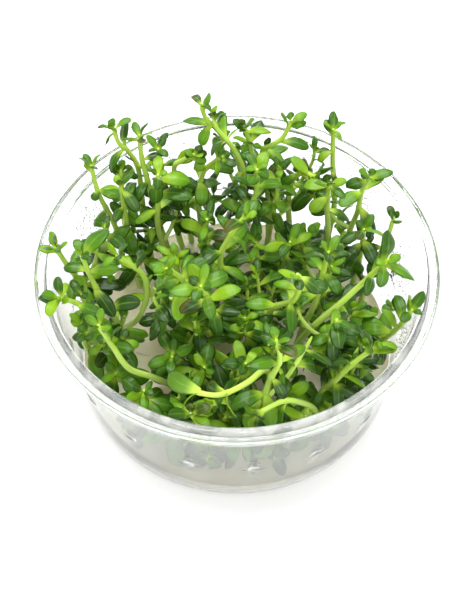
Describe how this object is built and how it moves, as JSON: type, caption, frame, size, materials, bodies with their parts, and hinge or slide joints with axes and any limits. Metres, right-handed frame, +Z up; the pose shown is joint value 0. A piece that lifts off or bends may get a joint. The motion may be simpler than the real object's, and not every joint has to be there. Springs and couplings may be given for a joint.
{
  "type": "cup of tissue-cultured rotala",
  "caption": "Shallow clear plastic cup with a lid ledge round its mouth, a disc of nutrient gel on its floor and a thicket of young leafy aquarium-plant shoots growing out past the rim.",
  "frame": {"origin": "centre of the flat underside of the cup", "axes": "+Z up out of the cup's mouth, -Y towards the viewer of the picture, +X to the viewer's right"},
  "size_m": [0.1, 0.1, 0.0664],
  "materials": {
    "clear_plastic": "clear, smooth and glossy, faintly hazy with condensation droplets inside",
    "gel": "cream nutrient gel, slightly see-through, smooth and wet",
    "shoot_green": "living green leaf and yellow-green stem, glossy and wet"
  },
  "bodies": {
    "root": {"cup": "clear_plastic", "gel": "gel", "shoot_back_tall": "shoot_green", "shoot_back_twin": "shoot_green", "shoot_back_middle": "shoot_green", "shoot_back_hook": "shoot_green", "shoot_back_right": "shoot_green", "shoot_back_upright": "shoot_green", "shoot_back_arch": "shoot_green", "shoot_back_bent": "shoot_green", "shoot_back_side": "shoot_green", "shoot_back_left": "shoot_green", "shoot_right_bright": "shoot_green", "shoot_right_fork": "shoot_green", "shoot_right_low": "shoot_green", "shoot_right_curl": "shoot_green", "shoot_right_lean": "shoot_green", "shoot_right_edge": "shoot_green", "shoot_right_front": "shoot_green", "shoot_right_short": "shoot_green", "shoot_left_tall": "shoot_green", "shoot_left_top": "shoot_green", "shoot_left_upright": "shoot_green", "shoot_left_dark": "shoot_green", "shoot_left_brown": "shoot_green", "shoot_left_inner": "shoot_green", "shoot_left_edge": "shoot_green", "shoot_left_pale": "shoot_green", "shoot_left_reach": "shoot_green", "shoot_left_hang": "shoot_green", "shoot_left_bow": "shoot_green", "shoot_front_left": "shoot_green", "shoot_front_left_low": "shoot_green", "shoot_front_sweep": "shoot_green", "shoot_front_tall": "shoot_green", "shoot_front_arch": "shoot_green", "shoot_front_middle": "shoot_green", "shoot_front_right": "shoot_green", "shoot_front_low": "shoot_green", "shoot_front_edge": "shoot_green", "shoot_near_left": "shoot_green", "shoot_near_middle": "shoot_green", "shoot_near_right": "shoot_green", "shoot_middle_tall": "shoot_green", "shoot_middle_kinked": "shoot_green", "shoot_inner_back": "shoot_green", "shoot_inner_right": "shoot_green", "shoot_inner_front": "shoot_green", "shoot_inner_left": "shoot_green", "shoot_inner_middle": "shoot_green", "shoot_inner_centre": "shoot_green", "shoot_inner_far_right": "shoot_green", "shoot_inner_near": "shoot_green", "shoot_inner_far_side": "shoot_green", "shoot_inner_heart": "shoot_green", "shoot_inner_low_left": "shoot_green", "shoot_right_straight": "shoot_green", "shoot_side_right": "shoot_green"}
  },
  "joints": []
}
